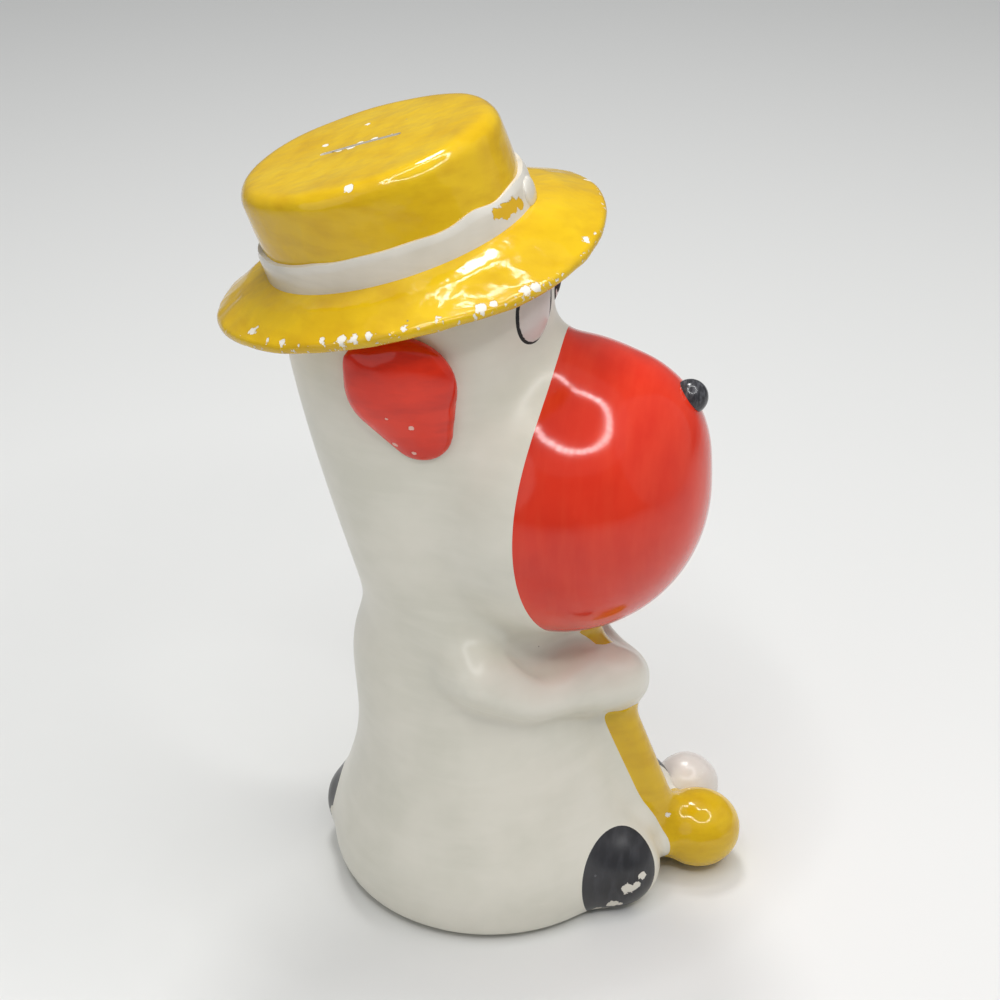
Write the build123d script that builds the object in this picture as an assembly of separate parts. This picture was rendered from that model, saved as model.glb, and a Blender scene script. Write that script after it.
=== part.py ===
from build123d import *

import math
import os

# Painted chalkware coin bank: a seated dog in a boater hat, with a golf club and a ball.
# The dog faces -Y, its right side is -X, and it stands on Z = 0. All sizes are in millimetres.
# Every modelled form is its own plaster solid, seated face to face on the form that carries it.
# BACK and FORWARD are distances behind and ahead of the origin, and OUT is to either side of it.
# RISE is a height above the neck, so that the head, the hat and all on them go up with the neck.

# Plaster walls left by slush casting
WALL = 7.0
FLOOR = 12.0

# Body, as level oval sections from the table up to the neck
FOOTPRINT_BACK = 64.0
FOOTPRINT_FORWARD = 62.0
FOOTPRINT_WIDTH = 130.0
SEAT_Z = 20.0
SEAT_BACK = 69.0
SEAT_FORWARD = 68.0
SEAT_WIDTH = 137.0
BELLY_Z = 60.0
BELLY_BACK = 58.0
BELLY_FORWARD = 54.0
BELLY_WIDTH = 114.0
CHEST_Z = 95.0
CHEST_BACK = 58.0
CHEST_FORWARD = 40.0
CHEST_WIDTH = 98.0
NECK_Z = 128.0
NECK_BACK = 51.0
NECK_FORWARD = 25.0
NECK_WIDTH = 80.0

# Breast, a swelling of the body that fills in between the arms, from the club up to the muzzle
BREAST_FORWARD = 33.0
BREAST_BELOW_NECK = 24.0
BREAST_HALF_WIDTH = 12.0
BREAST_HALF_DEPTH = 13.0
BREAST_HALF_HEIGHT = 24.0

# Head, which leans back as it rises from the neck to the hat
CHEEK_RISE = 62.0
CHEEK_BACK = 68.0
CHEEK_FORWARD = 20.0
CHEEK_WIDTH = 94.0
BROW_RISE = 134.0
BROW_BACK = 83.0
BROW_FORWARD = 24.0
BROW_WIDTH = 100.0

# Muzzle ball: ahead of the colour line it is the muzzle, behind it a part of the head
MUZZLE_RADIUS = 60.5
MUZZLE_FORWARD = 28.0
MUZZLE_RISE = 58.5
COLOUR_LINE_FORWARD = 28.0
COLOUR_LINE_RADIUS = 210.0

# Nose, a small ball sunk in the muzzle, which swells a little towards it
NOSE_RADIUS = 7.0
NOSE_RISE_DEG = 37.5
NOSE_OFFSET = 8.0
NOSE_LIFT = 2.5
NOSE_SWELL_RADIUS = 45.0
NOSE_SWELL_HEIGHT = 3.5

# Eyes, tall ovals side by side on the brow
EYE_HALF_WIDTH = 12.0
EYE_HALF_HEIGHT = 19.0
EYE_HALF_DEPTH = 7.0
EYE_RISE = 144.5
EYE_OUT = 18.5
EYE_FORWARD = 16.5
EYE_TURN_DEG = 35.0

# Ears, flattened drops that hang from under the brim
EAR_TOP_RADIUS = 21.5
EAR_TIP_RADIUS = 12.5
EAR_LENGTH = 20.8
EAR_HALF_THICK = 9.0
EAR_OUT = 50.0
EAR_BACK = 25.0
EAR_RISE = 121.0
EAR_SWING_DEG = 19.0
EAR_FLARE_DEG = 6.0

# Boater hat, set back on the head: its own centre is where the crown meets the brim
HAT_BACK = 35.0
HAT_RISE = 161.5
HAT_TILT_DEG = 17.8
HAT_OVAL = 0.96
CROWN_BASE_RADIUS = 51.5
CROWN_TOP_RADIUS = 51.4
CROWN_LEAN = 1.9
CROWN_HEIGHT = 37.0
CROWN_EDGE_RADIUS = 6.0
BRIM_RADIUS = 77.5
BRIM_THICK = 6.0
BRIM_DROOP = 8.0
BRIM_SWELL = 1.5
BAND_HEIGHT = 11.0
BAND_THICK = 2.0
KNOT_HALF_WIDTH = 7.0
KNOT_HALF_DEPTH = 6.0
KNOT_HALF_HEIGHT = 6.5
SLOT_LENGTH = 33.0
SLOT_WIDTH = 4.5
SLOT_BACK = 3.5

# Arms: the centres and radii of shoulder, elbow and paw, and the forearm where it leaves the elbow.
# The paws grip the club one above the other.
SHOULDER_OUT = 38.0
SHOULDER_BACK = 2.0
SHOULDER_BELOW_NECK = 13.0
SHOULDER_RADIUS = 15.0
ELBOW_OUT = 29.0
ELBOW_FORWARD = 20.5
ELBOW_Z = 98.3
ELBOW_RADIUS = 12.0
FOREARM_RADIUS = 10.5
PAW_OUT = 5.0
PAW_FORWARD = 53.2
PAW_Z = 98.8
PAW_RADIUS = 12.5
LEFT_PAW_BELOW = 7.5

# Golf club, from where it laps up behind the muzzle down to its head on the table
GRIP_FORWARD = 32.0
GRIP_LAP = 6.0
SHAFT_FOOT_FORWARD = 78.0
SHAFT_FOOT_Z = 14.0
SHAFT_RADIUS = 8.5
CLUB_FORWARD = 89.5
CLUB_OUT = 6.0
CLUB_HALF_LENGTH = 18.5
CLUB_HALF_WIDTH = 18.0
CLUB_HALF_HEIGHT = 17.0

# Golf ball, between the club head and the left foot
BALL_RADIUS = 14.3
BALL_OUT = 39.0
BALL_FORWARD = 81.0

# Feet, two lobes at the front of the seat
FOOT_OUT = 25.0
FOOT_FORWARD = 52.0
FOOT_Z = 18.0
FOOT_HALF_WIDTH = 19.0
FOOT_HALF_LENGTH = 25.5
FOOT_HALF_HEIGHT = 22.0

# Tail, a lobe low on the back
TAIL_BACK = 61.0
TAIL_Z = 18.0
TAIL_HALF_WIDTH = 15.0
TAIL_HALF_DEPTH = 13.0
TAIL_HALF_HEIGHT = 17.0

# Stopper in the floor, through which the coins come out
STOPPER_HOLE_RADIUS = 19.0
STOPPER_FLANGE_RADIUS = 23.0
STOPPER_FLANGE_THICK = 2.0
STOPPER_RECESS = 6.0
STOPPER_REACH = 3.0
STOPPER_CLEARANCE = 0.4
STOPPER_CHAMFER = 1.2
PULL_BAR_LENGTH = 24.0
PULL_BAR_WIDTH = 5.0
PULL_BAR_HEIGHT = 3.0

CHEEK_Z = NECK_Z + CHEEK_RISE
BROW_Z = NECK_Z + BROW_RISE
MUZZLE_Z = NECK_Z + MUZZLE_RISE
HAT_Z = NECK_Z + HAT_RISE
GRIP_Z = MUZZLE_Z - MUZZLE_RADIUS + GRIP_LAP
HAT_PLACE = Location((0, HAT_BACK, HAT_Z), (-HAT_TILT_DEG, 0, 0))
HAT_TOP_Z = HAT_Z + CROWN_HEIGHT
STOPPER_BACK = (FOOTPRINT_BACK - FOOTPRINT_FORWARD) / 2


def oval(z, back, forward, width):
    """A level section, from its back and front distances and its full width."""
    return Plane((0, (back - forward) / 2, z)) * Ellipse(width / 2, (back + forward) / 2)


def ellipsoid(half_x, half_y, half_z):
    return scale(Sphere(1), by=(half_x, half_y, half_z))


def drop(radius, tip_radius, length):
    """A ball that tapers to a smaller ball, standing on Z with the larger ball at the origin."""
    lean = math.asin((radius - tip_radius) / length)
    low = (radius * math.cos(lean), radius * math.sin(lean))
    high = (tip_radius * math.cos(lean), length + tip_radius * math.sin(lean))
    top = (0, length + tip_radius)
    side = [
        TangentArc((0, -radius), low, tangent=(1, 0)),
        Line(low, high),
        TangentArc(high, top, tangent=(high[0] - low[0], high[1] - low[1])),
        Line(top, (0, -radius)),
    ]
    return revolve(Plane.XZ * make_face(side), Axis.Z)


def limb(start, start_radius, end, end_radius):
    """A drop laid from one point to another, whichever end is the larger."""
    along = Vector(*end) - Vector(*start)
    if start_radius < end_radius:
        return limb(end, end_radius, start, start_radius)
    return Plane(start, z_dir=along) * drop(start_radius, end_radius, along.length)


def on_table(solid):
    """What is left of a form once its underside is levelled with the table."""
    return split(solid, bisect_by=Plane.XY, keep=Keep.TOP)


def other_side(solid):
    """The dog's left piece, from its right one."""
    return mirror(solid, about=Plane.YZ)


def body_form():
    return loft(
        [
            oval(0, FOOTPRINT_BACK, FOOTPRINT_FORWARD, FOOTPRINT_WIDTH),
            oval(SEAT_Z, SEAT_BACK, SEAT_FORWARD, SEAT_WIDTH),
            oval(BELLY_Z, BELLY_BACK, BELLY_FORWARD, BELLY_WIDTH),
            oval(CHEST_Z, CHEST_BACK, CHEST_FORWARD, CHEST_WIDTH),
            oval(NECK_Z, NECK_BACK, NECK_FORWARD, NECK_WIDTH),
        ]
    )


def body_hollow():
    """The inside of the body: it closes in over the floor and stays open at the neck."""
    both = 2 * WALL
    return loft(
        [
            oval(FLOOR, FOOTPRINT_BACK - WALL, FOOTPRINT_FORWARD - WALL, FOOTPRINT_WIDTH - both),
            oval(SEAT_Z + FLOOR, SEAT_BACK - both, SEAT_FORWARD - both, SEAT_WIDTH - 2 * both),
            oval(BELLY_Z, BELLY_BACK - WALL, BELLY_FORWARD - WALL, BELLY_WIDTH - both),
            oval(CHEST_Z, CHEST_BACK - WALL, CHEST_FORWARD - WALL, CHEST_WIDTH - both),
            oval(NECK_Z, NECK_BACK - WALL, NECK_FORWARD - WALL, NECK_WIDTH - both),
        ]
    )


def head_form(wall):
    """The head without its muzzle ball, drawn in by a wall; it runs on up into the hat."""
    return loft(
        [
            oval(NECK_Z, NECK_BACK - wall, NECK_FORWARD - wall, NECK_WIDTH - 2 * wall),
            oval(CHEEK_Z, CHEEK_BACK - wall, CHEEK_FORWARD - wall, CHEEK_WIDTH - 2 * wall),
            oval(BROW_Z, BROW_BACK - wall, BROW_FORWARD - wall, BROW_WIDTH - 2 * wall),
            oval(HAT_TOP_Z, BROW_BACK - wall, BROW_FORWARD - wall, BROW_WIDTH - 2 * wall),
        ]
    )


def muzzle_ball(radius):
    """A ball at the muzzle's centre, with its poles fore and aft."""
    return Location((0, -MUZZLE_FORWARD, MUZZLE_Z), (90, 0, 0)) * Sphere(radius)


def nose_spot(distance):
    """The place at a distance from the muzzle's centre along the nose's own direction."""
    rise = math.radians(NOSE_RISE_DEG)
    aim = Vector(NOSE_OFFSET / MUZZLE_RADIUS, -math.cos(rise), math.sin(rise)).normalized()
    return Plane(Vector(0, -MUZZLE_FORWARD, MUZZLE_Z) + aim * distance, z_dir=aim)


def hat_ring(section):
    """A hat piece from its half section, spun, drawn oval and set on the head."""
    ring = revolve(Plane.XZ * make_face(section), Axis.Z)
    return HAT_PLACE * scale(ring, by=(HAT_OVAL, 1, 1))


def crown_oval(z, radius_change):
    """The crown's level outline at a height above the brim, drawn in or out by a change."""
    share = z / CROWN_HEIGHT
    radius = CROWN_BASE_RADIUS + (CROWN_TOP_RADIUS - CROWN_BASE_RADIUS) * share + radius_change
    return HAT_PLACE * Pos(0, CROWN_LEAN * share, z) * Ellipse(radius * HAT_OVAL, radius)


def crown_form(height, radius_change):
    """A straight-sided piece of the crown, from the brim up to a height."""
    return loft([crown_oval(0, radius_change), crown_oval(height, radius_change)])


def crown_top_edge(solid):
    """The edge round the top of such a piece."""
    return solid.edges().sort_by(Axis(HAT_PLACE))[-1]


def brim_slope(drop_below):
    """The brim's sloping side in half section, from the band out to the rim, at a depth."""
    seat = CROWN_BASE_RADIUS + BAND_THICK
    rim = BRIM_RADIUS - BRIM_THICK / 2
    middle = ((seat + rim) / 2, BRIM_SWELL - BRIM_DROOP / 2 - drop_below)
    return ThreePointArc((seat, -drop_below), middle, (rim, -BRIM_DROOP - drop_below))


def under_hat():
    """Everything above the brim's underside, to trim what the hat sits on."""
    slope = brim_slope(BRIM_THICK)
    high = 2 * CROWN_HEIGHT
    lid = Polyline(slope @ 1, ((slope @ 1).X, high), (0, high), (0, -BRIM_THICK))
    return hat_ring([Line((0, -BRIM_THICK), slope @ 0), slope, lid])


def brim():
    """A sloping ring with a rounded rim, open inside the crown."""
    hole = CROWN_BASE_RADIUS - WALL
    under = brim_slope(BRIM_THICK)
    over = brim_slope(0)
    rim = ThreePointArc(under @ 1, (BRIM_RADIUS, -BRIM_DROOP - BRIM_THICK / 2), over @ 1)
    inside = Polyline(over @ 0, (hole, 0), (hole, -BRIM_THICK), under @ 0)
    return hat_ring([under, rim, over, inside])


# The plaster forms, whole, before each is cut by what carries it
ball = muzzle_ball(MUZZLE_RADIUS)
breast = Pos(0, -BREAST_FORWARD, NECK_Z - BREAST_BELOW_NECK)
breast = breast * ellipsoid(BREAST_HALF_WIDTH, BREAST_HALF_DEPTH, BREAST_HALF_HEIGHT) - ball
body = body_form() + breast
hat_room = under_hat()
head_core = head_form(0)
behind_line = Pos(0, COLOUR_LINE_RADIUS - COLOUR_LINE_FORWARD, MUZZLE_Z)
behind_line = behind_line * Cylinder(COLOUR_LINE_RADIUS, 3 * MUZZLE_RADIUS)
head = (head_core + (ball & behind_line)) - hat_room - body
hollow = head_form(WALL) + muzzle_ball(MUZZLE_RADIUS - WALL)

# Muzzle and nose
swell = nose_spot(MUZZLE_RADIUS + NOSE_SWELL_HEIGHT - NOSE_SWELL_RADIUS) * Sphere(NOSE_SWELL_RADIUS)
muzzle = ball + swell - behind_line - head_core - body
nose = nose_spot(MUZZLE_RADIUS + NOSE_LIFT) * Sphere(NOSE_RADIUS) - muzzle
muzzle = muzzle - hollow
head_shell = head - hollow

# Eyes and ears, trimmed by the brim above them
eye_place = Location((-EYE_OUT, -EYE_FORWARD, NECK_Z + EYE_RISE), (0, 0, -EYE_TURN_DEG))
eye_right = eye_place * ellipsoid(EYE_HALF_WIDTH, EYE_HALF_DEPTH, EYE_HALF_HEIGHT)
eye_right = split(eye_right, bisect_by=Plane.YZ, keep=Keep.BOTTOM) - head_core - ball - hat_room
ear_drop = scale(
    drop(EAR_TOP_RADIUS, EAR_TIP_RADIUS, EAR_LENGTH),
    by=(EAR_HALF_THICK / EAR_TOP_RADIUS, 1, 1),
)
ear_place = Location((-EAR_OUT, EAR_BACK, NECK_Z + EAR_RISE), (180 - EAR_SWING_DEG, EAR_FLARE_DEG, 0))
ear_right = ear_place * ear_drop - head_core - ball - hat_room

# Hat: brim, hollow crown with the coin slot, band and knot
hat_brim = brim()
crown_solid = crown_form(CROWN_HEIGHT, 0)
crown_solid = fillet(crown_top_edge(crown_solid), CROWN_EDGE_RADIUS)
slot = Rot(0, 0, 90) * SlotOverall(SLOT_LENGTH, SLOT_WIDTH)
slot = HAT_PLACE * extrude(Pos(0, SLOT_BACK, CROWN_HEIGHT - 2 * WALL) * slot, 3 * WALL)
hat_crown = crown_solid - crown_form(CROWN_HEIGHT - WALL, -WALL) - slot
hat_band = crown_form(BAND_HEIGHT, BAND_THICK) - crown_solid
knot_place = HAT_PLACE * Pos(0, -CROWN_BASE_RADIUS - BAND_THICK, BAND_HEIGHT / 2)
knot = knot_place * ellipsoid(KNOT_HALF_WIDTH, KNOT_HALF_DEPTH, KNOT_HALF_HEIGHT)
hat_knot = knot - crown_solid - hat_band - hat_brim

# Feet and tail, lobes that stand on the table against the seat
foot = Pos(-FOOT_OUT, -FOOT_FORWARD, FOOT_Z)
foot = foot * ellipsoid(FOOT_HALF_WIDTH, FOOT_HALF_LENGTH, FOOT_HALF_HEIGHT)
foot_right = on_table(foot) - body
foot_left = other_side(foot_right)
tail = Pos(0, TAIL_BACK, TAIL_Z) * ellipsoid(TAIL_HALF_WIDTH, TAIL_HALF_DEPTH, TAIL_HALF_HEIGHT)
tail = on_table(tail) - body

# Golf club and ball
grip = (0, -GRIP_FORWARD, GRIP_Z)
shaft_foot = (0, -SHAFT_FOOT_FORWARD, SHAFT_FOOT_Z)
shaft = limb(grip, SHAFT_RADIUS, shaft_foot, SHAFT_RADIUS)
club = Pos(CLUB_OUT, -CLUB_FORWARD, CLUB_HALF_HEIGHT)
club = club * ellipsoid(CLUB_HALF_WIDTH, CLUB_HALF_LENGTH, CLUB_HALF_HEIGHT)
club_shaft = shaft - club - body - head - ball - foot_right - foot_left
club_head = club - foot_right - foot_left
golf_ball = Pos(BALL_OUT, -BALL_FORWARD, BALL_RADIUS) * Sphere(BALL_RADIUS)
golf_ball = golf_ball - club - foot_left

# Arms, which meet at the middle around the club
def arm(paw_z):
    """A right arm with its paw at a height, cut to the middle and by all that it lies on."""
    shoulder = (-SHOULDER_OUT, SHOULDER_BACK, NECK_Z - SHOULDER_BELOW_NECK)
    elbow = (-ELBOW_OUT, -ELBOW_FORWARD, ELBOW_Z)
    paw = (-PAW_OUT, -PAW_FORWARD, paw_z)
    upper_arm = limb(shoulder, SHOULDER_RADIUS, elbow, ELBOW_RADIUS) - body - head - ball - shaft
    forearm = limb(elbow, FOREARM_RADIUS, paw, PAW_RADIUS) - body - head - ball - shaft
    return split(upper_arm + forearm, bisect_by=Plane.YZ, keep=Keep.BOTTOM)


arm_right = arm(PAW_Z)
arm_left = other_side(arm(PAW_Z - LEFT_PAW_BELOW))

# Body shell with the stopper's hole in its floor
floor_hole = Pos(0, STOPPER_BACK, 0) * extrude(Circle(STOPPER_HOLE_RADIUS), FLOOR + WALL)
flange_room = STOPPER_FLANGE_RADIUS + STOPPER_CLEARANCE
floor_recess = Pos(0, STOPPER_BACK, 0) * extrude(Circle(flange_room), STOPPER_RECESS)
body_shell = body - body_hollow() - floor_hole - floor_recess

# Rubber stopper: a flange under the recess, a plug through the floor and a bar to pull it by
plug_radius = STOPPER_HOLE_RADIUS - STOPPER_CLEARANCE
flange = Pos(0, 0, STOPPER_RECESS - STOPPER_FLANGE_THICK)
flange = flange * extrude(Circle(STOPPER_FLANGE_RADIUS), STOPPER_FLANGE_THICK)
plug = extrude(Circle(plug_radius), FLOOR - STOPPER_RECESS + STOPPER_REACH)
plug = Pos(0, 0, STOPPER_RECESS) * chamfer(plug.edges().group_by(Axis.Z)[-1], STOPPER_CHAMFER)
bar = extrude(SlotOverall(PULL_BAR_LENGTH, PULL_BAR_WIDTH), -PULL_BAR_HEIGHT)
bar = Pos(0, 0, STOPPER_RECESS - STOPPER_FLANGE_THICK) * bar
base_stopper = Pos(0, STOPPER_BACK, 0) * (flange + plug + bar)

pieces = {
    "body_shell": body_shell,
    "head_shell": head_shell,
    "muzzle": muzzle,
    "nose": nose,
    "eye_right": eye_right,
    "eye_left": other_side(eye_right),
    "ear_right": ear_right,
    "ear_left": other_side(ear_right),
    "hat_brim": hat_brim,
    "hat_crown": hat_crown,
    "hat_band": hat_band,
    "hat_knot": hat_knot,
    "arm_right": arm_right,
    "arm_left": arm_left,
    "club_shaft": club_shaft,
    "club_head": club_head,
    "golf_ball": golf_ball,
    "foot_right": foot_right,
    "foot_left": foot_left,
    "tail": tail,
    "base_stopper": base_stopper,
}

os.makedirs("parts", exist_ok=True)
for name, solid in pieces.items():
    export_step(solid, os.path.join("parts", name + ".step"))
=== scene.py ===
import math

import bmesh
import bpy
from mathutils import Matrix, Vector, noise
from mathutils.bvhtree import BVHTree


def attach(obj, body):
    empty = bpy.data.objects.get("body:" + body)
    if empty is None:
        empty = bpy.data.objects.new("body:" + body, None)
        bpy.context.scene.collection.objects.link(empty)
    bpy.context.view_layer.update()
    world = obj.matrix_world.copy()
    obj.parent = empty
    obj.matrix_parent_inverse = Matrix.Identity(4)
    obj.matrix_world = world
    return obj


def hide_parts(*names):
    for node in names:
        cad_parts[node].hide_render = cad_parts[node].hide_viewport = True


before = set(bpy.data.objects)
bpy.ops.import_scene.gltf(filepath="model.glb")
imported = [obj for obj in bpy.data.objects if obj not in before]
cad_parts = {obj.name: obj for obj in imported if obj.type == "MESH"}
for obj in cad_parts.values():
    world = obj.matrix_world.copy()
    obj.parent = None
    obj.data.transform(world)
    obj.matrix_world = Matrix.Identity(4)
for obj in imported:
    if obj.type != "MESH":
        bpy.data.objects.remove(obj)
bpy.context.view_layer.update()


# The plaster casting. Body, head, muzzle, arms, feet and tail came out of one rubber mould as a hollow
# slush casting, so each form runs into the next in a soft hollow. It is joined here from the frame's solids,
# its creases are filled by swelling and shrinking it, and it is hollowed again and opened in the floor.
def piece(name, form):
    """A new object from a finished bmesh, with its place in its mesh."""
    mesh = bpy.data.meshes.new(name)
    form.to_mesh(mesh)
    form.free()
    made = bpy.data.objects.new(name, mesh)
    bpy.context.scene.collection.objects.link(made)
    return made


def shaped(made, *steps):
    """Runs modifiers on a piece, one after the other, and makes their result its mesh."""
    for kind, settings in steps:
        step = made.modifiers.new(kind.lower(), kind)
        for name, value in settings.items():
            setattr(step, name, value)
    bpy.context.view_layer.update()
    result = bpy.data.meshes.new_from_object(made.evaluated_get(bpy.context.evaluated_depsgraph_get()))
    made.modifiers.clear()
    made.data = result
    result.name = made.name
    return made


def carved(made, operation, *tools):
    """Cuts a piece with other solids, or keeps what they share. The cut faces take the tool's material."""
    cuts = [
        ("BOOLEAN", dict(operation=operation, object=tool, solver="MANIFOLD", material_mode="TRANSFER"))
        for tool in tools
    ]
    return shaped(made, *cuts)


def copied(made, name):
    form = bmesh.new()
    form.from_mesh(made.data)
    twin = piece(name, form)
    for finish in made.data.materials:
        twin.data.materials.append(finish)
    return twin


def dropped(*tools):
    for tool in tools:
        bpy.data.objects.remove(tool)


def merged(form):
    """Closes a mesh's seams and turns its faces outwards."""
    bmesh.ops.remove_doubles(form, verts=form.verts, dist=1e-6)
    bmesh.ops.recalc_face_normals(form, faces=form.faces)
    return form


def linear(colour):
    """An sRGB hex colour as the linear values that a shader socket takes."""
    parts = [int(colour[i : i + 2], 16) / 255 for i in (1, 3, 5)]
    return [c / 12.92 if c <= 0.04045 else ((c + 0.055) / 1.055) ** 2.4 for c in parts] + [1]


def node(tree, kind, inputs={}, **settings):
    """Adds a node with its settings, and fills its sockets with values or with other nodes' outputs."""
    made = tree.nodes.new(kind)
    for name, value in settings.items():
        setattr(made, name, value)
    for socket, value in inputs.items():
        if isinstance(value, bpy.types.NodeSocket):
            tree.links.new(value, made.inputs[socket])
        else:
            made.inputs[socket].default_value = value
    return made


def finish(name):
    """A new material with its node tree, its Object coordinates and its empty shader."""
    made = bpy.data.materials.new(name)
    made.use_nodes = True
    tree = made.node_tree
    tree.nodes.clear()
    place = node(tree, "ShaderNodeTexCoord").outputs["Object"]
    shader = node(tree, "ShaderNodeBsdfPrincipled")
    node(tree, "ShaderNodeOutputMaterial", {"Surface": shader.outputs["BSDF"]})
    return made, tree, place, shader


# Bare plaster: set gypsum, chalky and matt, with pinholes of trapped air coloured darker grey as painted
# shade in them, and a rubbed, dusty tone
bare_plaster, tree, place, shader = finish("cast_plaster_bare")
dust = node(tree, "ShaderNodeTexNoise", {"Vector": place, "Scale": 1 / 0.018, "Detail": 5.0})
holes = node(tree, "ShaderNodeTexVoronoi", {"Vector": place, "Scale": 1 / 0.007})
pits = node(
    tree,
    "ShaderNodeMapRange",
    {"Value": holes.outputs["Distance"], "From Min": 0.06, "From Max": 0.12},
)
chalk = node(
    tree,
    "ShaderNodeMix",
    {"Factor": dust.outputs["Fac"], 6: linear("#CFC8B8"), 7: linear("#EDE8DC")},
    data_type="RGBA",
)
# The pinholes take a darker grey: painted shade inside the small holes, which the bump also sinks
chalk = node(
    tree,
    "ShaderNodeMix",
    {"Factor": pits.outputs["Result"], 6: linear("#9A917F"), 7: chalk.outputs[2]},
    data_type="RGBA",
)
grain = node(tree, "ShaderNodeTexNoise", {"Vector": place, "Scale": 1 / 0.0012, "Detail": 3.0})
relief = node(
    tree,
    "ShaderNodeMath",
    {0: pits.outputs["Result"], 1: grain.outputs["Fac"]},
    operation="ADD",
)
bump = node(tree, "ShaderNodeBump", {"Height": relief.outputs[0], "Distance": 0.00025, "Strength": 0.6})
tree.links.new(chalk.outputs[2], shader.inputs["Base Color"])
tree.links.new(bump.outputs["Normal"], shader.inputs["Normal"])
shader.inputs["Roughness"].default_value = 0.85
shader.inputs["IOR"].default_value = 1.52


def enamel(
    name, light, dark, stroke, stroke_size, streak, gloss, chip="#E6E1D5", speck="#8F887A", wave_size=0.022
):
    """Gloss enamel brushed over plaster: patchy where the coat is thin, streaked along the brush, glossy,
    slightly wavy, with a few specks of dust in it. Where the piece is marked as worn, it has chipped off."""
    made, tree, place, shader = finish(name)
    thin = node(tree, "ShaderNodeTexNoise", {"Vector": place, "Scale": 1 / 0.028, "Detail": 3.0})
    thin = node(
        tree,
        "ShaderNodeMapRange",
        {"Value": thin.outputs["Fac"], "From Min": 0.35, "From Max": 0.65},
    )
    along = node(tree, "ShaderNodeMapping", {"Vector": place, "Scale": [1 / size for size in stroke_size]})
    hairs = node(tree, "ShaderNodeTexNoise", {"Vector": along.outputs["Vector"], "Scale": 1.0, "Detail": 4.0})
    hairs = node(
        tree,
        "ShaderNodeMapRange",
        {"Value": hairs.outputs["Fac"], "From Min": 0.45, "From Max": 0.75, "To Max": streak},
    )
    coat = node(
        tree,
        "ShaderNodeMix",
        {"Factor": thin.outputs["Result"], 6: linear(dark), 7: linear(light)},
        data_type="RGBA",
    )
    coat = node(
        tree,
        "ShaderNodeMix",
        {"Factor": hairs.outputs["Result"], 6: coat.outputs[2], 7: linear(stroke)},
        data_type="RGBA",
    )
    dots = node(tree, "ShaderNodeTexVoronoi", {"Vector": place, "Scale": 1 / 0.021})
    few = node(tree, "ShaderNodeSeparateColor", {"Color": dots.outputs["Color"]})
    reach = node(
        tree,
        "ShaderNodeMath",
        {0: few.outputs["Red"], 1: 0.06, 2: -0.026},
        operation="MULTIPLY_ADD",
    )
    dust = node(
        tree,
        "ShaderNodeMath",
        {0: dots.outputs["Distance"], 1: reach.outputs[0]},
        operation="LESS_THAN",
    )
    coat = node(
        tree,
        "ShaderNodeMix",
        {"Factor": dust.outputs[0], 6: coat.outputs[2], 7: linear(speck)},
        data_type="RGBA",
    )
    worn = node(tree, "ShaderNodeAttribute", attribute_name="worn")
    crumbs = node(tree, "ShaderNodeTexNoise", {"Vector": place, "Scale": 1 / 0.0022, "Detail": 4.0})
    edge = node(
        tree,
        "ShaderNodeMath",
        {0: crumbs.outputs["Fac"], 1: 0.7, 2: worn.outputs["Fac"]},
        operation="MULTIPLY_ADD",
    )
    bare = node(tree, "ShaderNodeMapRange", {"Value": edge.outputs[0], "From Min": 0.83, "From Max": 0.87})
    coat = node(
        tree,
        "ShaderNodeMix",
        {"Factor": bare.outputs["Result"], 6: coat.outputs[2], 7: linear(chip)},
        data_type="RGBA",
    )
    rough = node(
        tree,
        "ShaderNodeMapRange",
        {"Value": bare.outputs["Result"], "To Min": gloss, "To Max": 0.7},
    )
    rough = node(
        tree,
        "ShaderNodeMath",
        {0: hairs.outputs["Result"], 1: 0.07, 2: rough.outputs["Result"]},
        operation="MULTIPLY_ADD",
    )
    wave = node(tree, "ShaderNodeTexNoise", {"Vector": place, "Scale": 1 / wave_size, "Detail": 1.5})
    height = node(
        tree,
        "ShaderNodeMath",
        {0: hairs.outputs["Result"], 1: 0.03, 2: wave.outputs["Fac"]},
        operation="MULTIPLY_ADD",
    )
    height = node(
        tree,
        "ShaderNodeMath",
        {0: bare.outputs["Result"], 1: -0.5, 2: height.outputs[0]},
        operation="MULTIPLY_ADD",
    )
    bump = node(tree, "ShaderNodeBump", {"Height": height.outputs[0], "Distance": 0.0004, "Strength": 1.0})
    tree.links.new(coat.outputs[2], shader.inputs["Base Color"])
    tree.links.new(rough.outputs[0], shader.inputs["Roughness"])
    tree.links.new(bump.outputs["Normal"], shader.inputs["Normal"])
    shader.inputs["IOR"].default_value = 1.5
    return made


def wear(made, spots, rubbed=lambda place: 0):
    """Marks where paint is gone: 1 in the middle of a spot, falling to 0 at twice its radius. All in mm.
    A function of the place adds what is rubbed thin along edges."""
    layer = made.data.attributes.get("worn") or made.data.attributes.new("worn", "FLOAT", "POINT")
    places = [(Vector(spot[:3]) / 1000, spot[3] / 500) for spot in spots]
    values = [
        max([rubbed(v.co)] + [1 - (v.co - spot).length / reach for spot, reach in places])
        for v in made.data.vertices
    ]
    layer.data.foreach_set("value", values)


def smooth(made, sharp=40):
    """Smooth shading, but for edges sharper than an angle in degrees."""
    made.data.shade_smooth()
    made.data.set_sharp_from_angle(angle=math.radians(sharp))


def filled(reach, voxel):
    """Steps that swell a form and shrink it again, so that its creases are left as hollows of a radius."""
    return [
        ("REMESH", dict(mode="VOXEL", voxel_size=voxel)),
        ("SMOOTH", dict(factor=0.5, iterations=2)),
        ("DISPLACE", dict(strength=reach, mid_level=0)),
        ("REMESH", dict(mode="VOXEL", voxel_size=voxel)),
        ("SMOOTH", dict(factor=0.5, iterations=4)),
        ("DISPLACE", dict(strength=-reach, mid_level=0)),
        ("REMESH", dict(mode="VOXEL", voxel_size=voxel)),
        ("SMOOTH", dict(factor=0.5, iterations=8)),
    ]


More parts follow.
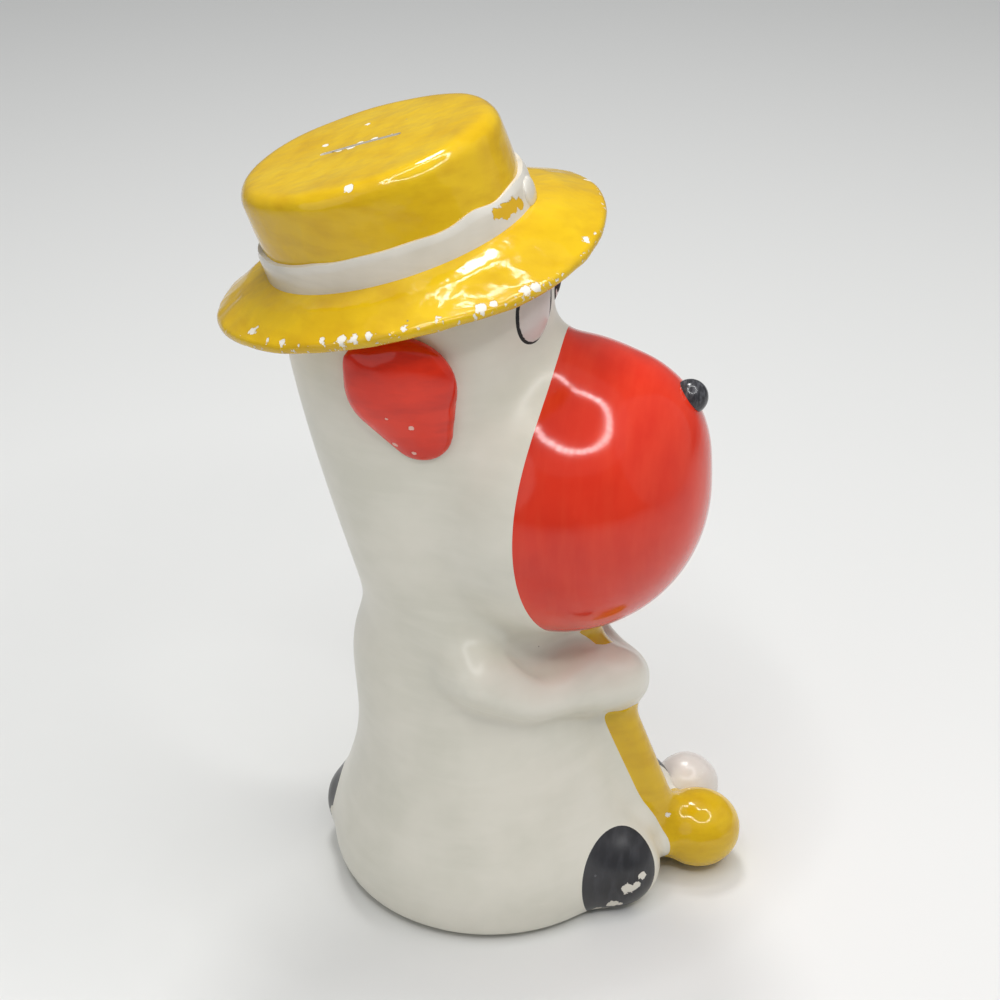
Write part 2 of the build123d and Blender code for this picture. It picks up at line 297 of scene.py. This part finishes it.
def oval(form, z, back, forward, width, segments, closed):
    """A level oval at a height, from its reach behind and before the middle and its width."""
    place = Matrix.Translation((0, (back - forward) / 2, z))
    half = Matrix.Diagonal((width / 2, (back + forward) / 2, 1, 1))
    made = bmesh.ops.create_circle(form, cap_ends=closed, segments=segments, radius=1, matrix=place @ half)
    return made["verts"]


def oval_plug(form, z, height, back, forward, width):
    """A level oval block, to close a hollow form for a while."""
    start = oval(form, z, back, forward, width, 96, True)
    top = bmesh.ops.extrude_face_region(form, geom=list({f for v in start for f in v.link_faces}))["geom"]
    bmesh.ops.translate(form, verts=[v for v in top if isinstance(v, bmesh.types.BMVert)], vec=(0, 0, height))


# The head is closed under the hat, along the brim's tilted plane, and at the neck
hat_place = Matrix.Translation((0, 0.035, 0.2895)) @ Matrix.Rotation(math.radians(-17.8), 4, "X")
form = bmesh.new()
oval_plug(form, 0.255, 0.08, 0.0822, 0.0232, 0.0984)
bmesh.ops.bisect_plane(
    form,
    geom=form.verts[:] + form.edges[:] + form.faces[:],
    plane_co=hat_place @ Vector((0, 0, -0.002)),
    plane_no=hat_place.to_3x3() @ Vector((0, 0, 1)),
    clear_outer=True,
)
bmesh.ops.holes_fill(form, edges=[e for e in form.edges if e.is_boundary])
oval_plug(form, 0.1285, 0.012, 0.050, 0.024, 0.078)
merged(form)
for name in ["head_shell", "muzzle"]:
    form.from_mesh(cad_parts[name].data)
bmesh.ops.remove_doubles(form, verts=form.verts, dist=1e-5)
head_form = shaped(piece("head_form", form), *filled(0.011, 0.002))

form = bmesh.new()
for name in ["arm_right", "arm_left"]:
    form.from_mesh(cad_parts[name].data)
bmesh.ops.remove_doubles(form, verts=form.verts, dist=1e-5)
arms_form = shaped(
    piece("arms_form", form), *filled(0.012, 0.002), ("DISPLACE", dict(strength=0.0016, mid_level=0))
)


def eased(value, start, end):
    """0 up to the start and 1 from the end on, with a soft run between them."""
    part = min(max((value - start) / (end - start), 0), 1)
    return part * part * (3 - 2 * part)


# The arms stand out as round limbs along their middle line, which runs a little higher than the solids'
# as far as the paws, and they sink into the body at the shoulders
arm_line = [(0.022, 0.119), (-0.001, 0.116), (-0.023, 0.105), (-0.040, 0.103), (-0.056, 0.102)]
arm_line = [Vector(spot) for spot in arm_line]
for v in arms_form.data.vertices:
    spot, ahead = v.co.yz, -v.co.y
    off = min(
        (spot - a.lerp(b, min(max((spot - a).dot(b - a) / (b - a).length_squared, 0), 1))).length
        for a, b in zip(arm_line, arm_line[1:])
    )
    ridge = max(1 - (off / 0.019) ** 2, 0) ** 2
    swell = 0.0065 * ridge * eased(ahead, -0.026, 0.014) * (1 - 0.85 * eased(ahead, 0.034, 0.052))
    sunk = 0.0040 * eased(-ahead, -0.006, 0.022)
    v.co.x += math.copysign((swell - sunk) * min(abs(v.co.x) / 0.01, 1), v.co.x)
    v.co.z += 0.0045 * (1 - eased(ahead, 0.038, 0.056))


def kept(made, spot, beyond):
    """A closed part of a form: what lies on the far side of a plane from the way it faces."""
    form = bmesh.new()
    form.from_mesh(made.data)
    everything = form.verts[:] + form.edges[:] + form.faces[:]
    bmesh.ops.bisect_plane(form, geom=everything, plane_co=spot, plane_no=beyond, clear_outer=True)
    bmesh.ops.holes_fill(form, edges=[e for e in form.edges if e.is_boundary])
    return piece("kept", form)


shoulders = kept(arms_form, (0, 0.016, 0.105), (0, -1, -0.8))
nape = kept(head_form, (0, 0.006, 0), (0, -1, 0))
form = bmesh.new()
oval_plug(form, 0, 0.012, 0.0255, 0.0235, 0.049)
merged(form)
form.from_mesh(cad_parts["body_shell"].data)
bmesh.ops.remove_doubles(form, verts=form.verts, dist=1e-5)
form.from_mesh(shoulders.data)
form.from_mesh(nape.data)
body_form = shaped(piece("body_form", form), *filled(0.020, 0.0025))

form = bmesh.new()
for name in ["foot_right", "foot_left", "tail", "club_shaft"]:
    form.from_mesh(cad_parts[name].data)
bmesh.ops.remove_doubles(form, verts=form.verts, dist=1e-5)
form.from_mesh(body_form.data)
form.from_mesh(head_form.data)
trunk_form = shaped(piece("trunk_form", form), *filled(0.005, 0.002))

form = bmesh.new()
form.from_mesh(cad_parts["club_shaft"].data)
form.from_mesh(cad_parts["club_head"].data)
bmesh.ops.remove_doubles(form, verts=form.verts, dist=1e-5)
form.from_mesh(trunk_form.data)
form.from_mesh(arms_form.data)
dropped(head_form, arms_form, shoulders, nape, body_form, trunk_form)
casting = shaped(piece("casting", form), *filled(0.004, 0.0016))

# The hollow inside: a stack of ovals through body and head, and a ball behind the muzzle's wall
ball_centre = Vector((0, -0.028, 0.1865))
form = bmesh.new()
rings = []
for z, back, forward, width in [
    (0.012, 0.056, 0.054, 0.114),
    (0.032, 0.055, 0.053, 0.108),
    (0.060, 0.051, 0.046, 0.100),
    (0.095, 0.051, 0.032, 0.084),
    (0.128, 0.044, 0.018, 0.066),
    (0.190, 0.061, 0.013, 0.080),
    (0.262, 0.076, 0.017, 0.086),
    (0.340, 0.076, 0.017, 0.086),
]:
    ring = oval(form, z, back, forward, width, 64, False)
    rings.append(list({e for v in ring for e in v.link_edges}))
for low, high in zip(rings, rings[1:]):
    bmesh.ops.bridge_loops(form, edges=low + high)
bmesh.ops.holes_fill(form, edges=[e for e in form.edges if e.is_boundary])
bmesh.ops.create_uvsphere(
    form, u_segments=64, v_segments=32, radius=0.0535, matrix=Matrix.Translation(ball_centre)
)
chamber = shaped(
    piece("chamber", merged(form)),
    ("REMESH", dict(mode="VOXEL", voxel_size=0.004)),
    ("SMOOTH", dict(factor=0.5, iterations=6)),
)
chamber.data.materials.append(bare_plaster)


def turned(points, steps=96, form=None):
    """A ring or a knob from its half section, spun about Z."""
    form = form or bmesh.new()
    line = [form.verts.new((r, 0, z)) for r, z in points]
    edges = [form.edges.new(pair) for pair in zip(line, line[1:])]
    bmesh.ops.spin(
        form, geom=line + edges, cent=(0, 0, 0), axis=(0, 0, 1), angle=math.tau, steps=steps, use_merge=True
    )
    return merged(form)


# The hole in the floor, with a recess for the stopper's flange
stopper_spot = Vector((0, 0.001, 0))
form = turned([(0, 0.03), (0.019, 0.03), (0.019, 0.006), (0.0234, 0.006), (0.0234, -0.01), (0, -0.01)])
bmesh.ops.translate(form, verts=form.verts, vec=stopper_spot)
floor_hole = piece("floor_hole", form)
floor_hole.data.materials.append(bare_plaster)

# White enamel: a warm, greyed white with broad, soft lights and faint level strokes
white_enamel = enamel("white_gloss_enamel", "#E6E2D5", "#DDDACC", "#EBE7DB", (0.025, 0.025, 0.005), 0.35, 0.3)
casting.data.materials.append(white_enamel)
casting.data.materials.append(bare_plaster)
for face in casting.data.polygons:
    if face.center.z < 0.0012 and face.normal.z < -0.8:
        face.material_index = 1
carved(casting, "DIFFERENCE", chamber, floor_hole)
dropped(chamber, floor_hole)


# The muzzle: the front of the head's ball, painted red up to a line that bows forward at top and bottom.
# It is a part of the casting, cut from it along the paint line.
def painted_zone(name, cast, zone, enamel_coat):
    """Parts a painted zone from the casting: the zone's piece comes back, and the rest stays behind."""
    part = copied(cast, name)
    carved(part, "INTERSECT", zone)
    carved(cast, "DIFFERENCE", zone)
    for place, coat in enumerate(part.data.materials):
        if coat == white_enamel:
            part.data.materials[place] = enamel_coat
    dropped(zone)
    smooth(part)
    return part


# Red enamel: strong and glossy, a little streaked, so that the lamps show in it as bright shapes
red_enamel = enamel(
    "red_gloss_enamel", "#E2371E", "#D62E17", "#E8492C", (0.03, 0.006, 0.03), 0.4, 0.12, speck="#F0A090"
)


def ball_zone(radius):
    form = bmesh.new()
    bmesh.ops.create_uvsphere(
        form, u_segments=128, v_segments=64, radius=radius, matrix=Matrix.Translation(ball_centre)
    )
    return piece("muzzle_zone", form)


# The zone reaches further out above the ball's underside, where it takes in the swell round the nose
chin_height = 0.145
wide_zone = ball_zone(0.066)
upper_zone = kept(wide_zone, (0, 0, chin_height), (0, 0, -1))
zone = carved(ball_zone(0.0617), "UNION", upper_zone)
line_radius = 0.140
form = bmesh.new()
bmesh.ops.create_cone(
    form,
    cap_ends=True,
    segments=512,
    radius1=line_radius,
    radius2=line_radius,
    depth=0.2,
    matrix=Matrix.Translation((0, 0.1083, 0.1865)) @ Matrix.Rotation(math.radians(-2.5), 4, "X"),
)
behind_line = piece("behind_line", form)
carved(zone, "DIFFERENCE", behind_line)
dropped(wide_zone, upper_zone, behind_line)
muzzle = painted_zone("muzzle_red", casting, zone, red_enamel)
wear(muzzle, [])
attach(muzzle, "figure")
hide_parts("muzzle")


# Feet and tail: low lobes of the casting, brushed black after the white.
# The paint is chipped to the plaster along the edges that they stand on.

# Black satin enamel: a dull, streaky grey black with soft lights
black_enamel = enamel(
    "black_satin_enamel", "#343437", "#28282A", "#454549", (0.01, 0.003, 0.01), 0.7, 0.28, speck="#57575A"
)


def lobe(half, centre):
    form = bmesh.new()
    bmesh.ops.create_uvsphere(
        form,
        u_segments=96,
        v_segments=48,
        radius=1,
        matrix=Matrix.Translation(centre) @ Matrix.Diagonal((*half, 1)),
    )
    return piece("lobe", form)


foot_wear = [
    (-41.2, -65.1, 16.9, 3.0),
    (-39.4, -68.6, 17.8, 2.2),
    (-37.4, -70.8, 21.8, 2.0),
    (-40.7, -58.9, 7.3, 2.6),
    (-39.6, -61.6, 6.8, 1.6),
    (-38.2, -55.7, 2.6, 1.8),
    (-39.6, -51.5, 3.7, 2.4),
]
for name, side in [("foot_right", -1), ("foot_left", 1)]:
    zone = lobe((0.0198, 0.0221, 0.0209), (side * 0.030, -0.053, 0.0195))
    foot = painted_zone(name + "_black", casting, zone, black_enamel)
    wear(foot, [(-side * x, y, z, r) for x, y, z, r in foot_wear])
    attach(foot, "figure")
    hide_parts(name)
zone = lobe((0.0146, 0.0136, 0.0156), (0, 0.0615, 0.0205))
tail = painted_zone("tail_black", casting, zone, black_enamel)
wear(tail, [(-12.2, 68.4, 19.6, 1.6), (-11, 69.7, 16.3, 1.8), (8, 71, 9, 1.6)])
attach(tail, "figure")
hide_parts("tail")

smooth(casting)
wear(casting, [])
casting.name = "casting_white"
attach(casting, "figure")
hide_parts("body_shell", "head_shell", "arm_right", "arm_left")
casting_surface = BVHTree.FromPolygons(
    [v.co for v in casting.data.vertices], [face.vertices for face in casting.data.polygons]
)


# Nose: a small knob of plaster, sunk in the swell at the top of the muzzle and cast with it.
# It is brushed gloss black.

# Black gloss enamel: deep, with sharp small lights and pale brush hairs
nose_black = enamel(
    "black_gloss_enamel", "#3C3C40", "#232326", "#66666B", (0.003, 0.0012, 0.003), 0.7, 0.16, speck="#57575A"
)
nose_radius = 0.007
nose_reach = 0.063
nose_rise = math.radians(37.5)
aim = Vector((8 / 60.5, -math.cos(nose_rise), math.sin(nose_rise))).normalized()
nose_turn = aim.to_track_quat("Z", "Y").to_matrix().to_4x4()
nose_place = Matrix.Translation(ball_centre + aim * nose_reach) @ nose_turn
form = bmesh.new()
bmesh.ops.create_uvsphere(form, u_segments=64, v_segments=32, radius=nose_radius, matrix=nose_place)
nose = piece("nose_black", form)
nose.data.materials.append(nose_black)
smooth(nose)
wear(nose, [])
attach(nose, "figure")
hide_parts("nose")


# Eyes: two raised ovals of the casting, on the brow under the brim.
# They are painted a greyed pink white and edged with a brushed black line.

# Eye enamel: pale and glossy. Its mark for wear carries the black line and the pupil.
eye_enamel = enamel(
    "eye_gloss_enamel", "#DDD3CE", "#D2C9C5", "#E2DAD5", (0.004, 0.01, 0.01), 0.5, 0.2, chip="#1D1D1F"
)
for name, side in [("eye_right", -1), ("eye_left", 1)]:
    form = bmesh.new()
    bmesh.ops.create_uvsphere(form, u_segments=144, v_segments=96, radius=1)
    eye_place = (
        Matrix.Translation((side * 0.0185, -0.0165, 0.2725))
        @ Matrix.Rotation(math.radians(side * 35), 4, "Z")
        @ Matrix.Diagonal((0.012, 0.007, 0.019, 1))
    )
    bmesh.ops.transform(form, verts=form.verts, matrix=eye_place)
    bmesh.ops.bisect_plane(
        form,
        geom=form.verts[:] + form.edges[:] + form.faces[:],
        plane_co=(0, 0, 0),
        plane_no=(-side, 0, 0),
        clear_outer=True,
    )
    bmesh.ops.holes_fill(form, edges=[e for e in form.edges if e.is_boundary])
    eye = piece(name + "_white", form)
    eye.data.materials.append(eye_enamel)
    smooth(eye)

    def black_line(place):
        """The line where the eye meets the head, and the pupil at the inner edge."""
        spot = eye_place.inverted() @ place
        pupil = math.hypot((spot.x + side * 0.80) / 0.17, (spot.z + 0.12) / 0.36)
        return max(1.35 - casting_surface.find_nearest(place)[3] / 0.0009, 0.5 + (1 - pupil) * 1.2, 0)

    wear(eye, [], black_line)
    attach(eye, "figure")
    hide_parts(name)


# Ears: flattened drops that hang from under the brim, cast against the sides of the head.
# They are brushed red, thin along the edge where they meet the head.

# Ear enamel: a glossy red with darker strokes and a wavy face
ear_red = enamel(
    "ear_gloss_enamel",
    "#EA3416",
    "#DA2B12",
    "#C2200E",
    (0.012, 0.02, 0.006),
    0.6,
    0.1,
    chip="#F2BDB0",
    speck="#F0A090",
    wave_size=0.012,
)
ear_wear = [
    (-57.0, 29.1, 238.9, 0.6),
    (-55.6, 20.0, 235.0, 1.1),
    (-51.6, 27.4, 225.2, 1.1),
    (-51.4, 20.2, 222.2, 1.0),
]
for name, side in [("ear_right", -1), ("ear_left", 1)]:
    form = bmesh.new()
    for spot, radius in [((0, 0, 0), 0.0215), ((0, 0, 0.0208), 0.0125), ((0, -0.0089, -0.012), 0.0095)]:
        bmesh.ops.create_uvsphere(
            form, u_segments=48, v_segments=24, radius=radius, matrix=Matrix.Translation(spot)
        )
    inner = bmesh.ops.convex_hull(form, input=form.verts)["geom_interior"]
    inner = list({v for v in inner if isinstance(v, bmesh.types.BMVert)})
    bmesh.ops.delete(form, geom=inner, context="VERTS")
    bmesh.ops.transform(
        form,
        verts=form.verts,
        matrix=Matrix.Translation((-0.050, 0.025, 0.249))
        @ Matrix.Rotation(math.radians(161), 4, "X")
        @ Matrix.Rotation(math.radians(6), 4, "Y")
        @ Matrix.Diagonal((9 / 21.5, 1, 1, 1)),
    )
    if side > 0:
        bmesh.ops.scale(form, verts=form.verts, vec=(-1, 1, 1))
    ear = shaped(
        piece(name + "_red", merged(form)),
        ("REMESH", dict(mode="VOXEL", voxel_size=0.001)),
        ("SMOOTH", dict(factor=0.5, iterations=12)),
    )
    ear.data.materials.append(ear_red)
    smooth(ear)
    wear(
        ear,
        [(-side * x, y, z, r) for x, y, z, r in ear_wear],
        lambda place: 0.62 - casting_surface.find_nearest(place)[3] / 0.004,
    )
    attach(ear, "figure")
    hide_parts(name)


# Hat brim: a sloping ring cast with the head, uneven as a hand-cut mould leaves it, and dipping over the
# right eye. Its yellow enamel is chipped to the plaster all along the rim.

# Yellow enamel: warm and glossy, with darker strokes and a rippled face that breaks up the lights
yellow_enamel = enamel(
    "yellow_gloss_enamel", "#E2BB1A", "#D8AE13", "#C5970E", (0.016, 0.016, 0.005), 0.55, 0.11, wave_size=0.007
)
hat_oval = hat_place @ Matrix.Diagonal((0.96, 1, 1, 1))
form = turned(
    [
        (0.0445, 0),
        (0.0535, 0),
        (0.064, -0.0025),
        (0.0745, -0.0078),
        (0.0778, -0.0095),
        (0.0778, -0.0125),
        (0.0745, -0.0142),
        (0.064, -0.0085),
        (0.0535, -0.006),
        (0.0445, -0.006),
        (0.0445, 0),
    ],
    steps=192,
)
brim = shaped(
    piece("hat_brim_yellow", form),
    ("REMESH", dict(mode="VOXEL", voxel_size=0.001)),
    ("SMOOTH", dict(factor=0.5, iterations=6)),
)


def dip(turn):
    """How far the rim hangs below a true cone, at an angle round the hat in degrees from the dog's left."""
    return 0.0062 * math.exp(-(((turn - 238) / 40) ** 2)) - 0.0016 * math.exp(-(((turn - 130) / 28) ** 2))


for v in brim.data.vertices:
    out = min(max((math.hypot(v.co.x, v.co.y) - 0.054) / 0.0235, 0), 1)
    ripple = 0.0008 * noise.noise(v.co * 45) + 0.0004 * noise.noise(v.co * 110)
    v.co.z += out * out * (3 - 2 * out) * (ripple - dip(math.degrees(math.atan2(v.co.y, v.co.x)) % 360))
brim_wear = []
for turn, inset, radius in [
    (138, 4.5, 3.0),
    (147, 2.0, 1.4),
    (153, 1.5, 1.6),
    (167, 1.5, 1.8),
    (173, 1.2, 2.2),
    (177, 1.0, 2.0),
    (181, 1.5, 2.2),
    (191, 1.5, 1.9),
    (200, 2.0, 2.0),
    (204, 1.5, 1.5),
    (212, 1.2, 2.4),
    (216, 1.0, 1.8),
    (226, 1.2, 2.4),
    (229, 0.8, 2.2),
    (234, 1.5, 1.5),
    (256, 2.4, 2.4),
    (298, 1.0, 2.0),
    (322, 1.5, 1.5),
    (15, 1.0, 2.2),
    (52, 1.5, 1.7),
    (88, 1.0, 2.0),
    (104, 2.0, 1.5),
]:
    reach = 0.0768 - inset / 1000
    spot = Vector((math.cos(math.radians(turn)) * reach, math.sin(math.radians(turn)) * reach, 0))
    spot.z = -0.0098 - dip(turn)
    brim_wear.append((*(hat_oval @ spot * 1000), radius))
brim.data.transform(hat_oval)
brim.data.materials.append(yellow_enamel)
smooth(brim)
on_hat = hat_oval.inverted()
wear(brim, brim_wear, lambda place: 0.40 if (on_hat @ place).xy.length > 0.0762 else 0)
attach(brim, "figure")
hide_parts("hat_brim")


# Hat crown: low and straight sided with a soft top edge, hollow, with the coin slot cut through its top
# while the plaster was green. The slot's lips are chipped white.
form = turned(
    [(0, 0.037), (0.0514, 0.037), (0.0515, -0.002), (0.0445, -0.002), (0.0444, 0.030), (0, 0.030)], steps=192
)
rim = [e for e in form.edges if all(abs(v.co.z - 0.037) < 1e-5 and v.co.xy.length > 0.04 for v in e.verts)]
bmesh.ops.bevel(form, geom=rim, offset=0.0065, segments=6, profile=0.5, affect="EDGES", material=-1)
crown = shaped(
    piece("hat_crown_yellow", form),
    ("REMESH", dict(mode="VOXEL", voxel_size=0.0013)),
    ("SMOOTH", dict(factor=0.5, iterations=6)),
)
crown_lean = 0.051
for v in crown.data.vertices:
    v.co += v.co.normalized() * 0.0008 * noise.noise(v.co * 40)
    v.co.y += v.co.z * crown_lean
form = bmesh.new()
slot_size = Matrix.Diagonal((0.0028, 0.033, 0.02, 1))
bmesh.ops.create_cube(form, size=1, matrix=Matrix.Translation((0, 0.0035, 0.036)) @ slot_size)
upright = [e for e in form.edges if abs(e.verts[0].co.z - e.verts[1].co.z) > 0.01]
bmesh.ops.bevel(form, geom=upright, offset=0.0013, segments=5, profile=0.5, affect="EDGES", material=-1)
slot = piece("coin_slot", form)
slot.data.materials.append(bare_plaster)
crown.data.materials.append(yellow_enamel)
carved(crown, "DIFFERENCE", slot)
dropped(slot)
crown.data.transform(hat_oval)
smooth(crown)
wear(
    crown,
    [
        (-45.5, 43.2, 325.2, 2.0),
        (-1.5, 52.5, 322.0, 2.2),
        (1.7, 44.0, 324.4, 2.0),
        (-1.5, 57.5, 320.6, 1.5),
        (1.7, 37.5, 326.4, 1.5),
        (1.7, 49.5, 322.8, 1.6),
        (9.6, 65.7, 318.5, 1.5),
        (20.9, 51.2, 323.2, 1.3),
    ],
)
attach(crown, "figure")
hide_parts("hat_crown")


# Hat band and knot: a raised band round the foot of the crown, brushed white, streaky and ragged at its
# edges, with a small flat knot at the front. The crown's yellow runs over it in one place.

# Band enamel: a cold white with level grey strokes. Its mark for wear carries the yellow.
band_white = enamel(
    "band_white_enamel", "#E4E0D8", "#D8D4CA", "#CCC8BE", (0.02, 0.02, 0.004), 0.4, 0.15, chip="#D9AE1A"
)
form = turned(
    [
        (0.050, -0.0015),
        (0.0538, -0.0015),
        (0.0537, 0.009),
        (0.0529, 0.0113),
        (0.0505, 0.0113),
        (0.050, -0.0015),
    ],
    steps=256,
)
upright = [e for e in form.edges if abs(e.verts[0].co.z - e.verts[1].co.z) > 0.006]
bmesh.ops.subdivide_edges(form, edges=upright, cuts=7)
for v in form.verts:
    if v.co.z > 0:
        v.co.z += v.co.z / 0.011 * 0.0018 * noise.noise(Vector((v.co.x, v.co.y, 0)) * 60)
    v.co.y += v.co.z * crown_lean
bmesh.ops.transform(form, verts=form.verts, matrix=hat_oval)
band = piece("hat_band_white", form)
band.data.materials.append(band_white)
smooth(band)
wear(
    band,
    [
        (-25.3, -6.9, 310.1, 2.4),
        (-21.5, -9.1, 309.8, 3.2),
        (-17.1, -11.0, 310.1, 3.2),
        (-12.7, -12.8, 309.2, 2.6),
    ],
)
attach(band, "figure")
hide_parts("hat_band")

form = bmesh.new()
bmesh.ops.create_uvsphere(form, u_segments=48, v_segments=32, radius=1)
for v in form.verts:
    v.co.z *= 1 + 0.25 * abs(v.co.x)
bmesh.ops.transform(
    form,
    verts=form.verts,
    matrix=hat_oval @ Matrix.Translation((0, -0.0532, 0.0034)) @ Matrix.Diagonal((0.0072, 0.002, 0.0055, 1)),
)
knot = piece("hat_knot_white", form)
knot.data.materials.append(band_white)
smooth(knot)
wear(knot, [])
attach(knot, "figure")
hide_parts("hat_knot")


# Golf club: shaft and head are forms of the casting too, with soft hollows between them and the belly.
# They are brushed yellow up to a line along each side, and the breast's white laps over the shaft's top.
form = bmesh.new()
for name in ["club_shaft", "club_head"]:
    form.from_mesh(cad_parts[name].data)
bmesh.ops.remove_doubles(form, verts=form.verts, dist=1e-5)
zone = shaped(
    piece("club_zone", form), *filled(0.005, 0.0012), ("DISPLACE", dict(strength=0.002, mid_level=0))
)
breast_size = Matrix.Diagonal((0.05, 0.06, 0.03, 1))
form = bmesh.new()
bmesh.ops.create_cube(form, size=1, matrix=Matrix.Translation((0, -0.03, 0.115)) @ breast_size)
breast = piece("breast", form)
over_shaft = kept(breast, (0, -0.039, 0.121), (0, -0.66, 0.75))
carved(zone, "DIFFERENCE", over_shaft)
dropped(breast, over_shaft)
club = painted_zone("golf_club_yellow", casting, zone, yellow_enamel)
smooth(casting)
wear(club, [(-6.4, -77.4, 31.0, 1.4)])
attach(club, "figure")
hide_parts("club_shaft", "club_head")


# Golf ball: a plain ball of the casting that stands on the table between the club and the left foot.
# It is painted a pinkish white and has no dimples.

# Ball enamel: pale, with soft lights
ball_white = enamel("ball_white_enamel", "#E6E0D8", "#DDD4CD", "#E9E5DF", (0.006, 0.006, 0.003), 0.5, 0.25)
ball_radius = 0.0143
ball_spot = Vector((0.039, -0.081, ball_radius))
form = bmesh.new()
bmesh.ops.create_icosphere(form, subdivisions=5, radius=ball_radius, matrix=Matrix.Translation(ball_spot))
for v in form.verts:
    v.co += (v.co - ball_spot).normalized() * 0.0003 * noise.noise(v.co * 140)
bmesh.ops.bisect_plane(
    form,
    geom=form.verts[:] + form.edges[:] + form.faces[:],
    plane_co=(0, 0, 0.0002),
    plane_no=(0, 0, -1),
    clear_outer=True,
)
bmesh.ops.holes_fill(form, edges=[e for e in form.edges if e.is_boundary])
ball = piece("golf_ball_white", form)
ball.data.materials.append(ball_white)
smooth(ball)
wear(ball, [])
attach(ball, "figure")
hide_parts("golf_ball")


# Stopper: a moulded rubber plug, pressed into the floor's hole, with a flange that stops it and a bar
# to pull it by

# Moulded rubber: dull and nearly black, with a greyish bloom and fine pores
rubber, tree, place, shader = finish("moulded_rubber")
bloom = node(tree, "ShaderNodeTexNoise", {"Vector": place, "Scale": 1 / 0.006, "Detail": 5.0})
tone = node(
    tree,
    "ShaderNodeMix",
    {"Factor": bloom.outputs["Fac"], 6: linear("#2B2A29"), 7: linear("#45423F")},
    data_type="RGBA",
)
pores = node(tree, "ShaderNodeTexNoise", {"Vector": place, "Scale": 1 / 0.0006, "Detail": 2.0})
bump = node(tree, "ShaderNodeBump", {"Height": pores.outputs["Fac"], "Distance": 0.00006, "Strength": 0.7})
tree.links.new(tone.outputs[2], shader.inputs["Base Color"])
tree.links.new(bump.outputs["Normal"], shader.inputs["Normal"])
shader.inputs["Roughness"].default_value = 0.6
shader.inputs["IOR"].default_value = 1.52
form = turned(
    [
        (0, 0.015),
        (0.0174, 0.015),
        (0.0186, 0.0138),
        (0.0182, 0.011),
        (0.0186, 0.0085),
        (0.0186, 0.006),
        (0.0224, 0.006),
        (0.023, 0.0054),
        (0.023, 0.0046),
        (0.0224, 0.004),
        (0.0205, 0.004),
        (0.0200, 0.0046),
        (0.0188, 0.0046),
        (0.0183, 0.004),
        (0, 0.004),
    ]
)
bar_size = Matrix.Diagonal((0.024, 0.005, 0.0034, 1))
bar = bmesh.ops.create_cube(form, size=1, matrix=Matrix.Translation((0, 0, 0.0027)) @ bar_size)
bmesh.ops.bevel(
    form,
    geom=list({e for v in bar["verts"] for e in v.link_edges}),
    offset=0.0011,
    segments=4,
    profile=0.5,
    affect="EDGES",
    material=-1,
)
bmesh.ops.translate(form, verts=form.verts, vec=stopper_spot)
stopper = piece("stopper_rubber", form)
stopper.data.materials.append(rubber)
smooth(stopper, 30)
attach(stopper, "stopper")
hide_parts("base_stopper")


# Studio: a plain pale paper floor, soft lamps, a ring of small lamps above and a camera at the
# photograph's angle. Paper is matt and even.
form = bmesh.new()
bmesh.ops.create_grid(form, x_segments=1, y_segments=1, size=6)
floor = piece("studio_floor", form)
paper, tree, place, shader = finish("studio_paper")
shader.inputs["Base Color"].default_value = linear("#E4E4E2")
shader.inputs["Roughness"].default_value = 0.9
floor.data.materials.append(paper)

world = bpy.data.worlds.new("studio")
bpy.context.scene.world = world
world.use_nodes = True
world.node_tree.nodes["Background"].inputs["Color"].default_value = linear("#E8ECF0")
world.node_tree.nodes["Background"].inputs["Strength"].default_value = 0.22

middle = Vector((0, 0, 0.17))
ring_spot = Vector((-0.30, -0.26, 1.45))
ring_radius = 0.6
ring_count = 32
ring_aim = (middle - ring_spot).to_track_quat("-Z", "Y").to_matrix().to_4x4()
ring_place = Matrix.Translation(ring_spot) @ ring_aim
lamps = [
    ("ceiling_lamp", 0.35, 8.0, Vector((0.6, 0.2, 1.6))),
    ("soft_box", 3.0, 4.5, Vector((-0.35, -0.2, 1.7))),
    ("side_lamp", 1.6, 3.8, Vector((-1.3, 1.0, 0.9))),
    ("front_lamp", 2.4, 3.2, Vector((0.2, -1.8, 0.9))),
]
for step in range(ring_count):
    turn = math.tau * step / ring_count
    spot = ring_place @ Vector((ring_radius * math.cos(turn), ring_radius * math.sin(turn), 0))
    lamps.append((f"ring_lamp_{step}", 0.09, 0.52, spot))
for name, size, watts, spot in lamps:
    lamp = bpy.data.lights.new(name, "AREA")
    lamp.shape = "DISK"
    lamp.size = size
    lamp.energy = watts
    held = bpy.data.objects.new(name, lamp)
    held.location = spot
    held.rotation_euler = (middle - spot).to_track_quat("-Z", "Y").to_euler()
    bpy.context.scene.collection.objects.link(held)

lens = bpy.data.cameras.new("photo_camera")
lens.lens = 82.8
lens.sensor_width = 36
camera = bpy.data.objects.new("photo_camera", lens)
camera.location = (-0.7898, -0.1428, 0.6383)
camera.rotation_euler = (Vector((0, -0.0035, 0.1752)) - camera.location).to_track_quat("-Z", "Y").to_euler()
bpy.context.scene.collection.objects.link(camera)
bpy.context.scene.camera = camera
bpy.context.scene.view_settings.view_transform = "Standard"
